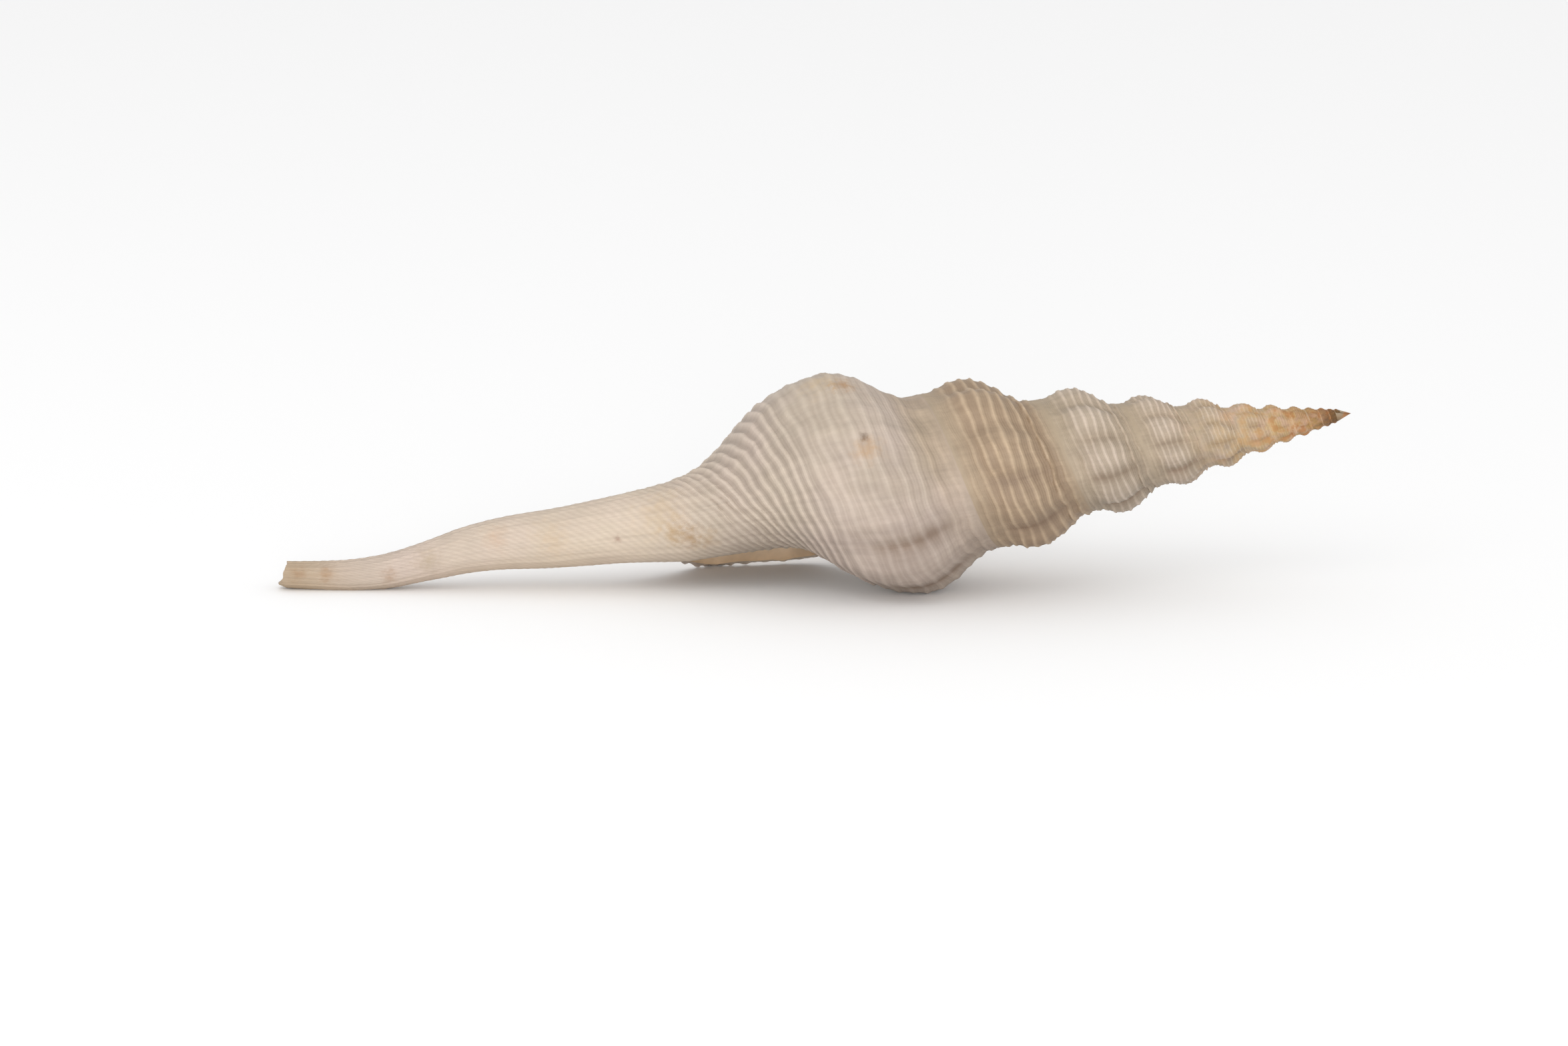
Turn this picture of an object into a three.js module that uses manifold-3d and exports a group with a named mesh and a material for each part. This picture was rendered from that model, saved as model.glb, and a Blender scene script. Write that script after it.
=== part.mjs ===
// A spindle shell: the long, slender shell of a sea snail, lying on its side with its mouth down.
// It is one piece. Its wall is a tube that winds about a straight axis and grows by the same
// share in every turn, so each whorl is a larger copy of the one before it. The last turn ends
// in the mouth, with a thin outer lip, and runs out into a long tapering canal.
//
// Millimetres and degrees. +X points to the apex, -X to the tip of the canal, +Z up.
// The origin is under the middle of the shell's box, on the surface that it lies on.
import * as THREE from 'three';
import { mergeVertices } from 'three/addons/utils/BufferGeometryUtils.js';
import Module from 'manifold-3d';

// Growth. Turns are counted back from the lip: 0 at the lip, 1 one whole turn earlier.
const GROWTH_PER_TURN = 1.36;
const TURNS = 9;
const CORDED_TURNS = 3;
const LIP_ANGLE = 52;

// Lengths along the axis, measured from the apex.
const TIP = 151.2;
const APEX_ROUNDING = 0.2;
const UPPER_SUTURE = 65.9;
const LOWER_SUTURE = 88.6;
const BASE_END = 103;
const BODY_END = 113;

// The first whorls at the apex are a little stouter than the growth alone makes them.
const STOUT_APEX = { extra: 0.33, fade: 9 };

// The whorl at the lip, as [distance from the apex, radius].
const LIP_OUTLINE = [
  [65.4, 12.9], [68.1, 13.95], [71.3, 15.45], [74.4, 17.4], [77.6, 18.7], [80.2, 18.95], [83.2, 18.5],
  [86.3, 17.5], [89.0, 16.1], [91.2, 14.55], [93.5, 12.5], [95.8, 10.3], [98.2, 8.3], [100.6, 6.75],
  [103, 5.5], [107.7, 2.85], [BODY_END, 0],
];

// The canal's half-width, and how far its middle line rises above the straight axis.
const CANAL_OUTLINE = [
  [94, 5.6], [100, 4.95], [108, 4.3], [116, 3.8], [124, 3.15], [132, 2.45], [140, 2.05], [151, 1.6],
];
const CANAL_LEAN = 0.1;

// The lip spreads outward beside the canal and draws in above it, as [distance, extra radius].
const LIP_FLARE = [
  [76, 0], [82, -0.8], [86, -0.7], [89, 0.2], [92, 2.3], [95, 2.9], [98, 1.6], [101, 0.4], [106, 0],
];
const LIP_TAPER_TURNS = 0.12;

// The whorl above the last is a little fuller, most of all by the suture under it.
const FULLER_WHORL = { extra: 0.4, start: 66, full: 74 };
const FILLED_NECK = { extra: 0.7, start: 82, full: 88.6 };
const FULLER_TURNS = { start: 1, full: 1.05, fade: 1.8, end: 2.6 };
const CANAL_RISE = [
  [96, 0], [104, 0.35], [112, 0.55], [120, 1.05], [125, 0.95], [130, 0.4], [136, -0.15], [141, 0.05],
  [145, 0.65], [151, 1.8],
];

// Ribs along the axis, and the cords that wind across them.
const RIBS_PER_TURN = 8.59;
const RIB_HEIGHT = 2.0;
const RIB_MEAN = 0.69;
const FURROW_ROUNDING = 0.224;
const FURROW_TURN = 0.66;
const RIBS_ALONG = { start: 66.5, full: 74, fade: 85, end: 97 };
const RIBS_LAST_TURN = { none: 0.12, faint: 0.3, rise: 0.42, full: 0.82, faintShare: 0.25 };
const CORDS_PER_WHORL = 8;
const CORDS_ON_BASE = 9;
const CORD_HEIGHT = 0.34;
const CANAL_STEPS = 11;
const STEPS_PER_RIB = 4;
const CORD_POINTS_PER_PLAIN_POINT = 4;

// The hollow of the mouth, and the slot that runs down the canal.
const HOLLOW_TURNS = 3;
const HOLLOW_CENTRE = 85.2;
const HOLLOW_REACH = 18;
const HOLLOW_STEPS_PER_TURN = 12;
const HOLLOW_SIDES = 16;
const HOLLOW_ROUNDNESS = 0.6;
const HOLLOW_LEAST_OUTSIDE = 5;
const HOLLOW_LEAST_HALF = 0.5;
const COLUMELLA_RADIUS = 5.5;
const CALLUS_THICKNESS = 0.3;
const LIP_THICKNESS = 0.35;
const WALL_THICKNESS = 1.3;
const SLOT_STATIONS = [95, 98, 101, 105, 110, 116, 122, 128, 134, 140, 147, 154];
const SLOT_ANGLE = 47.5;
const SLOT_SHARES = { bore: 0.4, halfWidth: 0.17, depth: 0.33, outside: 1.45 };
const SLOT_ARC_POINTS = 7;
const SLOT_AT_MOUTH = { from: 95, to: 108, depth: 5.6, openTo: 104, extraOutside: 4.5 };

// How the shell lies: the apex end is raised, and the lowest spots are worn flat.
const REST_PITCH = 9.49;
const WORN_FLAT = 0.25;
const FLOOR_BLOCK = 400;

const wasm = await Module();
wasm.setup();

const radians = THREE.MathUtils.degToRad;
const smoothstep = THREE.MathUtils.smoothstep;
const clamp = THREE.MathUtils.clamp;

// A smooth curve through [x, y] points, with each point's slope taken from its two neighbours.
function smoothCurve(points) {
  const last = points.length - 1;
  const slopeAt = (i) => {
    const before = points[Math.max(i - 1, 0)];
    const after = points[Math.min(i + 1, last)];
    return (after[1] - before[1]) / (after[0] - before[0]);
  };
  return (x) => {
    const inside = clamp(x, points[0][0], points[last][0]);
    let i = 0;
    while (i < last - 1 && inside > points[i + 1][0]) {
      i += 1;
    }
    const width = points[i + 1][0] - points[i][0];
    const s = (inside - points[i][0]) / width;
    const near = (1 + 2 * s) * (1 - s) ** 2 * points[i][1] + s * (1 - s) ** 2 * width * slopeAt(i);
    const far = s * s * (3 - 2 * s) * points[i + 1][1] - s * s * (1 - s) * width * slopeAt(i + 1);
    return near + far;
  };
}

const lipRadius = smoothCurve(LIP_OUTLINE);
const lipFlare = smoothCurve(LIP_FLARE);
const canalRadius = smoothCurve(CANAL_OUTLINE);
const canalRise = smoothCurve(CANAL_RISE);

// The larger of two sizes, with the step between them rounded off.
function roundedMax(a, b) {
  const blend = 1.2;
  return (a + b + Math.hypot(a - b, blend)) / 2;
}

// How much smaller the shell was, that many turns before the lip.
function scaleAt(turn) {
  return GROWTH_PER_TURN ** -turn;
}

// Ribs: broad round crests with rounded furrows, fading towards the base and the last half turn.
// The station is the distance from the apex, scaled up to what it is at the lip.
function ribHeight(turn, station) {
  const phase = RIBS_PER_TURN * (turn - FURROW_TURN);
  const wave = Math.hypot(Math.sin(Math.PI * phase), FURROW_ROUNDING) - RIB_MEAN;
  const across = RIBS_ALONG;
  const start = smoothstep(station, across.start, across.full);
  const end = 1 - smoothstep(station, across.fade, across.end);
  const last = RIBS_LAST_TURN;
  const rising = THREE.MathUtils.lerp(last.faintShare, 1, smoothstep(turn, last.rise, last.full));
  return RIB_HEIGHT * wave * start * end * smoothstep(turn, last.none, last.faint) * rising;
}

// How far the last of the growth spreads at the lip, and how much fuller the whorl before it is.
function flareAt(turn, station) {
  return lipFlare(station) * (1 - smoothstep(turn, 0, LIP_TAPER_TURNS));
}

function fullerBy(turn, station) {
  const whole = FULLER_WHORL.extra * smoothstep(station, FULLER_WHORL.start, FULLER_WHORL.full);
  const neck = FILLED_NECK.extra * smoothstep(station, FILLED_NECK.start, FILLED_NECK.full);
  const over = FULLER_TURNS;
  const started = smoothstep(turn, over.start, over.full);
  return (whole + neck) * started * (1 - smoothstep(turn, over.fade, over.end));
}

// Radius of the outer surface: the whorl, and on the last turn the canal that it runs into.
function outerRadius(turn, along) {
  const scale = scaleAt(turn);
  const station = along / scale;
  const extra = ribHeight(turn, station) + flareAt(turn, station) + fullerBy(turn, station);
  const whorl = station < BODY_END ? scale * (lipRadius(station) + extra) : 0;
  if (turn > 1) {
    return whorl + STOUT_APEX.extra * Math.exp(-((along / STOUT_APEX.fade) ** 2));
  }
  const leaning = 1 + CANAL_LEAN * (0.5 - turn);
  return roundedMax(whorl, canalRadius(along) * leaning);
}

// A point of the shell as it lies: radius and angle about the axis, then pitched to its rest.
// Angles run from straight down towards +Y.
const restTurn = new THREE.Matrix4().makeRotationY(-radians(REST_PITCH));
function pointAt(along, radius, angle) {
  const point = new THREE.Vector3(
    -along,
    radius * Math.sin(radians(angle)),
    canalRise(along) - radius * Math.cos(radians(angle)),
  );
  return point.applyMatrix4(restTurn);
}

function angleAt(turn) {
  return LIP_ANGLE + 360 * turn;
}

// The turns at which the surface has a row of points: a few to each rib, and 0 and 1 exactly.
function rowTurns() {
  const turns = [0];
  const leastGap = 0.4;
  const step = 1 / (STEPS_PER_RIB * RIBS_PER_TURN);
  const first = Math.ceil(-FURROW_TURN / step);
  for (let k = first; turns[turns.length - 1] < TURNS; k += 1) {
    const turn = FURROW_TURN + k * step;
    const before = turns[turns.length - 1];
    if (before < 1 && turn > 1 - leastGap * step) {
      turns.push(1);
    }
    if (turn > turns[turns.length - 1] + leastGap * step) {
      turns.push(turn);
    }
  }
  return turns;
}

// Even steps from one place to another, both ends included.
function evenSteps(from, to, count) {
  return Array.from({ length: count + 1 }, (unused, i) => from + ((to - from) * i) / count);
}

// The outer surface, as rows of points from the upper suture down, one row for each turn value.
// Every second point is on the crest of a cord.
function outerRows(points) {
  const whorlSteps = evenSteps(UPPER_SUTURE, LOWER_SUTURE, 2 * CORDS_PER_WHORL);
  const baseSteps = evenSteps(LOWER_SUTURE, BASE_END, 2 * CORDS_ON_BASE).slice(1);
  const plainSteps = whorlSteps.filter((unused, i) => i % CORD_POINTS_PER_PLAIN_POINT === 0);
  return rowTurns().map((turn) => {
    const scale = scaleAt(turn);
    const corded = turn <= CORDED_TURNS;
    const stations = corded ? whorlSteps : plainSteps;
    const along = stations.map((station) => station * scale);
    if (turn <= 1) {
      along.push(...baseSteps.map((station) => station * scale));
      along.push(...evenSteps(BASE_END * scale, TIP, CANAL_STEPS).slice(1));
    }
    const lastCord = whorlSteps.length + baseSteps.length - 1;
    const row = along.map((place, i) => {
      const cord = corded && i % 2 === 1 && i < lastCord ? CORD_HEIGHT * scale : 0;
      const index = points.length;
      points.push(pointAt(place, outerRadius(turn, place) + cord, angleAt(turn)));
      return { index, place };
    });
    return { turn, row, seam: stations.length - 1 };
  });
}

// Triangles between two lines of points, each point holding its place along its line.
function strip(triangles, lineA, lineB) {
  let a = 0;
  let b = 0;
  while (a < lineA.length - 1 || b < lineB.length - 1) {
    const nextA = a < lineA.length - 1 ? lineA[a + 1].place : Infinity;
    const nextB = b < lineB.length - 1 ? lineB[b + 1].place : Infinity;
    if (nextA <= nextB) {
      triangles.push([lineA[a].index, lineB[b].index, lineA[a + 1].index]);
      a += 1;
    } else {
      triangles.push([lineA[a].index, lineB[b].index, lineB[b + 1].index]);
      b += 1;
    }
  }
}

// Triangles from a loop of points to one point.
function fan(triangles, loop, centre) {
  loop.forEach((index, i) => {
    triangles.push([index, loop[(i + 1) % loop.length], centre]);
  });
}

// A solid from points and triangles, turned so that its faces point out.
function solidFrom(points, triangles) {
  let volume = 0;
  triangles.forEach(([a, b, c]) => {
    volume += points[a].dot(new THREE.Vector3().crossVectors(points[b], points[c])) / 6;
  });
  const outward = volume > 0 ? triangles : triangles.map(([a, b, c]) => [a, c, b]);
  return new wasm.Manifold(new wasm.Mesh({
    numProp: 3,
    vertProperties: new Float32Array(points.flatMap((point) => point.toArray())),
    triVerts: new Uint32Array(outward.flat()),
  }));
}

// The shell before it is hollowed: whorls, base, canal, and a flat wall across the mouth.
function fullForm() {
  const points = [];
  const triangles = [];
  const rows = outerRows(points);
  const startRow = rows.findIndex(({ turn }) => turn === 1);
  const lastTurn = rows[rows.length - 1].turn;
  // Two rows of the last turn match point for point. Above it, a row ends at the suture, and its
  // places are scaled to the lip, so that a plain row still meets a corded one.
  const lined = ({ turn, row, seam }, nextTurn) => {
    if (nextTurn <= 1) {
      return row.map(({ index }, i) => ({ index, place: i }));
    }
    return row.slice(0, seam + 1).map(({ index, place }) => ({ index, place: place / scaleAt(turn) }));
  };
  rows.slice(1).forEach((next, j) => {
    strip(triangles, lined(rows[j], next.turn), lined(next, next.turn));
  });
  // The suture: the upper edge of each turn meets the lower edge of the turn before it.
  const upper = rows.filter(({ turn }) => turn <= lastTurn - 1);
  const upperLine = upper.map(({ turn, row }) => ({ index: row[0].index, place: turn }));
  const lower = rows.slice(startRow);
  const lowerLine = lower.map(({ turn, row, seam }) => ({ index: row[seam].index, place: turn - 1 }));
  strip(triangles, upperLine, lowerLine);
  // The wall across the mouth, from the lip in to the columella and down the canal.
  strip(triangles, rows[startRow].row.slice(rows[startRow].seam), rows[0].row);
  // The apex, closed to a point over the last turn.
  const apex = points.length;
  points.push(pointAt(APEX_ROUNDING, 0, 0));
  const lastRow = rows[rows.length - 1].row;
  const topEdge = rows.slice(upper.length - 1).map(({ row }) => row[0].index);
  fan(triangles, [...topEdge, ...lastRow.slice(1).map(({ index }) => index)].reverse(), apex);
  // The cut-off tip of the canal.
  const tip = points.length;
  points.push(pointAt(TIP, 0, 0));
  fan(triangles, rows.slice(0, startRow + 1).map(({ row }) => row[row.length - 1].index), tip);
  return solidFrom(points, triangles);
}

// A closed tube from rings of points, all with the same number of points.
function tubeSolid(rings) {
  const points = rings.flat();
  const triangles = [];
  const sides = rings[0].length;
  rings.slice(1).forEach((unused, j) => {
    for (let i = 0; i < sides; i += 1) {
      const a = j * sides + i;
      const b = j * sides + ((i + 1) % sides);
      triangles.push([a, b, b + sides], [a, b + sides, a + sides]);
    }
  });
  [rings[0], rings[rings.length - 1]].forEach((ring, end) => {
    const middle = new THREE.Vector3();
    ring.forEach((point) => middle.addScaledVector(point, 1 / sides));
    const start = end * (rings.length - 1) * sides;
    const loop = ring.map((unused, i) => start + i);
    points.push(middle);
    fan(triangles, end ? loop : loop.reverse(), points.length - 1);
  });
  return solidFrom(points, triangles);
}

// The hollow that winds up from the mouth: inside the wall, and outside the whorl before it.
function hollow() {
  const rings = [];
  const step = 1 / HOLLOW_STEPS_PER_TURN;
  for (let turn = -step / 2; turn < HOLLOW_TURNS; turn += step) {
    const scale = scaleAt(turn);
    const wall = THREE.MathUtils.lerp(LIP_THICKNESS, WALL_THICKNESS, smoothstep(turn, 0, LIP_TAPER_TURNS));
    const ring = [];
    for (let i = 0; i < HOLLOW_SIDES; i += 1) {
      const around = (2 * Math.PI * i) / HOLLOW_SIDES;
      const station = HOLLOW_CENTRE - HOLLOW_REACH * Math.cos(around);
      const lip = roundedMax(lipRadius(station), HOLLOW_LEAST_OUTSIDE) + flareAt(turn, station);
      const outside = scale * (lip - wall);
      const earlier = lipRadius(Math.min(GROWTH_PER_TURN * station, BODY_END)) / GROWTH_PER_TURN;
      const inside = scale * (roundedMax(earlier, COLUMELLA_RADIUS) + CALLUS_THICKNESS);
      const half = Math.max((outside - inside) / 2, HOLLOW_LEAST_HALF * scale);
      const across = Math.sin(around);
      const bulge = Math.sign(across) * Math.abs(across) ** HOLLOW_ROUNDNESS;
      const radius = (outside + inside) / 2 + half * bulge;
      ring.push(pointAt(station * scale, radius, angleAt(turn)));
    }
    rings.push(ring);
  }
  return tubeSolid(rings);
}

// The canal's bore with the narrow slot that opens it along its whole length.
function canalSlot() {
  const mouth = SLOT_AT_MOUTH;
  const rings = SLOT_STATIONS.map((along) => {
    const radius = canalRadius(along);
    const pastMouth = smoothstep(along, mouth.from, mouth.to);
    const depth = THREE.MathUtils.lerp(mouth.depth, SLOT_SHARES.depth * radius, pastMouth);
    const bore = SLOT_SHARES.bore * radius;
    const halfSlot = SLOT_SHARES.halfWidth * radius;
    const outside = SLOT_SHARES.outside * radius + (along < mouth.openTo ? mouth.extraOutside : 0);
    const startAngle = Math.asin(halfSlot / bore);
    const section = [[halfSlot, outside]];
    evenSteps(startAngle, 2 * Math.PI - startAngle, SLOT_ARC_POINTS - 1).forEach((angle) => {
      section.push([bore * Math.sin(angle), depth + bore * Math.cos(angle)]);
    });
    section.push([-halfSlot, outside]);
    return section.map(([side, out]) => {
      const angle = SLOT_ANGLE + THREE.MathUtils.radToDeg(Math.atan2(side, out));
      return pointAt(along, Math.hypot(side, out), angle);
    });
  });
  return tubeSolid(rings);
}

// A block under the shell, which leaves small flats where the shell touches the surface.
function blockBelow(height) {
  const box = new THREE.BoxGeometry(FLOOR_BLOCK, FLOOR_BLOCK, FLOOR_BLOCK);
  box.translate(0, 0, height - FLOOR_BLOCK / 2);
  box.deleteAttribute('normal');
  box.deleteAttribute('uv');
  const merged = mergeVertices(box);
  return new wasm.Manifold(new wasm.Mesh({
    numProp: 3,
    vertProperties: new Float32Array(merged.attributes.position.array),
    triVerts: new Uint32Array(merged.index.array),
  }));
}

function geometryOf(solid) {
  const { vertProperties, triVerts } = solid.getMesh();
  const geometry = new THREE.BufferGeometry();
  geometry.setAttribute('position', new THREE.BufferAttribute(new Float32Array(vertProperties), 3));
  geometry.setIndex(new THREE.BufferAttribute(new Uint32Array(triVerts), 1));
  return geometry;
}

// The whole shell, hollowed, worn flat where it rests, and set over the origin.
function shellGeometry() {
  const hollowed = fullForm().subtract(hollow()).subtract(canalSlot());
  const lowest = hollowed.boundingBox().min[2];
  const geometry = geometryOf(hollowed.subtract(blockBelow(lowest + WORN_FLAT)));
  geometry.computeBoundingBox();
  const middle = geometry.boundingBox.getCenter(new THREE.Vector3());
  geometry.translate(-middle.x, -middle.y, -geometry.boundingBox.min.z);
  geometry.computeVertexNormals();
  return geometry;
}

// Dull ivory shell, a little chalky.
function ivoryShell() {
  return new THREE.MeshStandardMaterial({ color: 0xd8c3a8, roughness: 0.62, metalness: 0 });
}

const shell = new THREE.Mesh(shellGeometry(), ivoryShell());
shell.name = 'shell';

const spindleShell = new THREE.Group();
spindleShell.add(shell);

export default spindleShell;
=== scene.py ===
import bmesh
import bpy
import numpy as np
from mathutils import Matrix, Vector


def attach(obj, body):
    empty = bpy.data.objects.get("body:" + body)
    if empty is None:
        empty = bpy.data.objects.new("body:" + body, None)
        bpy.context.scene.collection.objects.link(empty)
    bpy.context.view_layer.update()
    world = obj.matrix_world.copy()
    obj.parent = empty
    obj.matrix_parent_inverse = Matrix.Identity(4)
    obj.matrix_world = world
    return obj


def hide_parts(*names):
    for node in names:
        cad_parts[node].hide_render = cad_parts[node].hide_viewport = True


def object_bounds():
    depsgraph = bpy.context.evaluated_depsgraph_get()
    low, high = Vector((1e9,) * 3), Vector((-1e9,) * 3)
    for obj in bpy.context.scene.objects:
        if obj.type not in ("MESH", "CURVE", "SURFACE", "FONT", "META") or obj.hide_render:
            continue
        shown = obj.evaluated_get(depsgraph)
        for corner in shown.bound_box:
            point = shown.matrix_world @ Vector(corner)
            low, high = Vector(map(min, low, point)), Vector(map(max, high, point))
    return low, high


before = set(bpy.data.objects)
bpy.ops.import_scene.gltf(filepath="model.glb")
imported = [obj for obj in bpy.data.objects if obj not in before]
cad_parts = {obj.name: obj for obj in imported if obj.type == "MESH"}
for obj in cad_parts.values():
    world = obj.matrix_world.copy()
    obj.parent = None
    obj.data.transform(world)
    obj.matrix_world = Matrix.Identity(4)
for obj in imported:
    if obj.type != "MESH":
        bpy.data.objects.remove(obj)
solid_low, solid_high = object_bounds()
MM = 0.001


# The camera sees the shell's long side from a little above, through a long lens, as the
# photograph does. The shell stands a little right of the picture's middle and above it.
PICTURE_WIDTH_PX = 2350
PICTURE_MIDDLE_PX = np.array([1175.0, 784.0])
SHELL_MIDDLE_PX = np.array([1215.5, 718.7])
PX_PER_MM = 10.76
CAMERA_RISE = np.radians(13.2)
LENS_MM = 100.0
SENSOR_MM = 36.0

camera = bpy.data.objects.new("camera", bpy.data.cameras.new("camera"))
camera.data.lens = LENS_MM
camera.data.sensor_width = SENSOR_MM
camera.data.clip_start = 0.01
camera.data.clip_end = 50.0
bpy.context.scene.collection.objects.link(camera)
bpy.context.scene.camera = camera

distance = LENS_MM / SENSOR_MM * PICTURE_WIDTH_PX / PX_PER_MM * MM
looking = Vector((0.0, np.cos(CAMERA_RISE), -np.sin(CAMERA_RISE)))
picture_up = Vector((0.0, np.sin(CAMERA_RISE), np.cos(CAMERA_RISE)))
off_middle = (SHELL_MIDDLE_PX - PICTURE_MIDDLE_PX) / PX_PER_MM * MM
aim = (solid_low + solid_high) / 2 + picture_up * off_middle[1] - Vector((off_middle[0], 0.0, 0.0))
camera.location = aim - looking * distance
camera.rotation_euler = (np.pi / 2 - CAMERA_RISE, 0.0, 0.0)


# The shell itself is one piece of lime, laid down turn after turn by the animal's mantle. Every
# turn is a larger copy of the one before it, so each size below is given at the lip, in mm,
# and shrinks by the growth per turn. Turns are counted back from the lip, and a station is a
# distance down the axis from the apex, as it would be at the lip.
GROWTH_PER_TURN = 1.36
LIP_ANGLE = 52.0
REST_PITCH = np.radians(9.49)
STOUT_APEX, STOUT_FADE = 0.33, 9.0
TIP = 151.6
UPPER_SUTURE = 65.9
LOWER_SUTURE = 88.6
BASE_END = 103.0
BODY_END = 113.0
LIP_OUTLINE = [
    (65.4, 13.35), (68.1, 13.4), (71.3, 15.0), (74.4, 17.2), (77.6, 18.7), (80.2, 18.95),
    (83.2, 18.5), (86.3, 17.5), (89.0, 16.1), (91.2, 14.55), (93.5, 12.5), (95.8, 10.3),
    (98.2, 8.3), (100.6, 6.75), (103.0, 5.5), (107.7, 2.85), (BODY_END, 0.0),
]
CANAL_OUTLINE = [
    (94, 5.6), (100, 4.95), (108, 4.3), (116, 3.8), (124, 3.15), (132, 2.45), (140, 2.05),
    (151, 1.6),
]
CANAL_LEAN = 0.1
LIP_FLARE = [
    (76, 0.0), (82, -0.8), (86, -0.7), (89, 0.2), (92, 2.3), (95, 2.9), (98, 1.6), (101, 0.4),
    (106, 0.0),
]
FLARE_TURNS = 0.12
WHORL_FILL = 0.4
FOOT_START, FOOT_SPREAD = 84.0, 0.08
CANAL_RISE = [
    (96, 0.0), (104, 0.35), (112, 0.55), (120, 1.05), (125, 0.95), (130, 0.4), (136, -0.15),
    (141, 0.05), (145, 0.65), (151, 1.8),
]


def smooth_curve(points, x):
    """A cubic through the points. The slope at each point is the rise over the run between its
    two neighbours, and past the ends the curve stays level."""
    px, py = np.array(points, float).T
    before = np.maximum(np.arange(len(px)) - 1, 0)
    after = np.minimum(np.arange(len(px)) + 1, len(px) - 1)
    slope = (py[after] - py[before]) / (px[after] - px[before])
    x = np.clip(x, px[0], px[-1])
    i = np.clip(np.searchsorted(px, x) - 1, 0, len(px) - 2)
    width = px[i + 1] - px[i]
    s = (x - px[i]) / width
    near = (1 + 2 * s) * (1 - s) ** 2 * py[i] + s * (1 - s) ** 2 * width * slope[i]
    far = s * s * (3 - 2 * s) * py[i + 1] - s * s * (1 - s) * width * slope[i + 1]
    return near + far


def ease(low, high, x):
    """0 below low, 1 above high, and between them 3 s squared less 2 s cubed."""
    s = np.clip((x - low) / (high - low), 0.0, 1.0)
    return s * s * (3 - 2 * s)


def rounded_max(a, b, blend=1.2):
    """The larger of two sizes, as half the sum of both and of a rounded difference."""
    return (a + b + np.hypot(a - b, blend)) / 2


# The ribs and cords are grown into the surface. Broad ribs run along each whorl, fading on
# the last half turn, and sharp cords wind across them with finer threads between.
RIBS_PER_TURN = 8.59
RIB_HEIGHT = 2.3
RIB_MEAN = 0.69
RIB_UNEVENNESS = 0.16
LAST_RIBS_SHARE = 0.25
LOW_RIB_LOSS = 0.55
FURROW_TURN = 0.66
FURROW_ROUNDING = 0.05
FURROW_LEAN = 0.07
CORDS_PER_WHORL = 9
CORDS_ON_BASE = 9
CANAL_CORD_SPACING = 1.45
CORD_WANDER = [(0.10, 19.0, 3.1), (0.06, 47.0, -1.7), (0.04, 101.0, 2.3)]
CORD_HEIGHT = 0.42
THREAD_SHARE = 0.35
BODY_CORD_LOSS = 0.35
CANAL_CORD_LOSS = 0.85
FURROW_CORD_LOSS = 0.75
SUTURE_CORD_LOSS = 0.7
LIP_TEETH = 1.4
FINE_GROWTH, SLOW_GROWTH = 0.018, 0.04
WHORL_MIDDLE = 78.0
SUTURE_REACH = 1.0
TOP_TURN = (180.0 - LIP_ANGLE) / 360.0
UNDERSIDE_TURN = 0.80


def rib_phase(turn):
    """Ribs counted from the first furrow: the rib count times the turns past it."""
    return RIBS_PER_TURN * (turn - FURROW_TURN)


def rib_height(turn, station):
    """Arches: the absolute sine of half a wave for each rib, rounded in the furrows and less its
    mean. They start under the suture and fade on the base. On the last turn they fade out towards
    the lip and lie lower where the shell rests, and up the spire they stand bolder."""
    phase = rib_phase(turn)
    uneven = 1 + RIB_UNEVENNESS * np.sin(2.1 * np.floor(phase)) * ease(0.3, 1.0, turn)
    arches = np.sqrt(np.sin(np.pi * phase) ** 2 + FURROW_ROUNDING) - RIB_MEAN
    along = ease(66.5, 74.0, station) * (1 - ease(85.0, 97.0, station))
    foot = 1 - ease(1.0, 1.05, turn) * ease(81.0, 88.0, station)
    fuller = LAST_RIBS_SHARE + (1 - LAST_RIBS_SHARE) * ease(0.42, 0.82, turn)
    lower = 1 - LOW_RIB_LOSS * ease(0.69, 0.77, turn) * (1 - ease(0.86, 0.97, turn))
    last_turn = ease(0.12, 0.3, turn) * fuller * lower
    bolder = 1 + 0.3 * ease(1.8, 2.4, turn) + 0.4 * ease(3.4, 5.0, turn)
    return RIB_HEIGHT * uneven * arches * along * foot * last_turn * bolder


def cord_phase(turn, station):
    """Cords counted from the upper suture, evenly over the whorl, then over the base, then at the
    canal's own closer spacing. They wander a little, by three sines of the turn and station."""
    on_whorl = CORDS_PER_WHORL * (station - UPPER_SUTURE) / (LOWER_SUTURE - UPPER_SUTURE)
    past = np.clip(station - LOWER_SUTURE, 0, BASE_END - LOWER_SUTURE)
    on_base = CORDS_ON_BASE * past / (BASE_END - LOWER_SUTURE)
    on_canal = np.maximum(station - BASE_END, 0) / CANAL_CORD_SPACING
    wander = sum(
        reach * np.sin(rate * turn + station / length) for reach, rate, length in CORD_WANDER
    )
    return np.minimum(on_whorl, CORDS_PER_WHORL) + on_base + on_canal + wander


def furrow_depth(turn, station):
    """Up to 1 in the furrow between two ribs and 0 on their crests: what is left of one when the
    absolute sine of the rib phase is taken away, to the power 1.6, where the ribs are full. It is
    deepest on the side that the shell lies on, by the square of a raised cosine of the turn."""
    # Besides sinking the cords, this depth sets the painted shade in the furrows, darkest on the
    # lain-on side.
    lain_on = (0.5 + 0.5 * np.cos(2 * np.pi * (turn - FURROW_TURN - FURROW_LEAN))) ** 2
    along = ease(67.0, 74.0, station) * (1 - ease(81.0, 88.0, station))
    between = (1 - np.abs(np.sin(np.pi * rib_phase(turn)))) ** 1.6
    return between * along * lain_on * ease(0.5, 0.66, turn)


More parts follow.
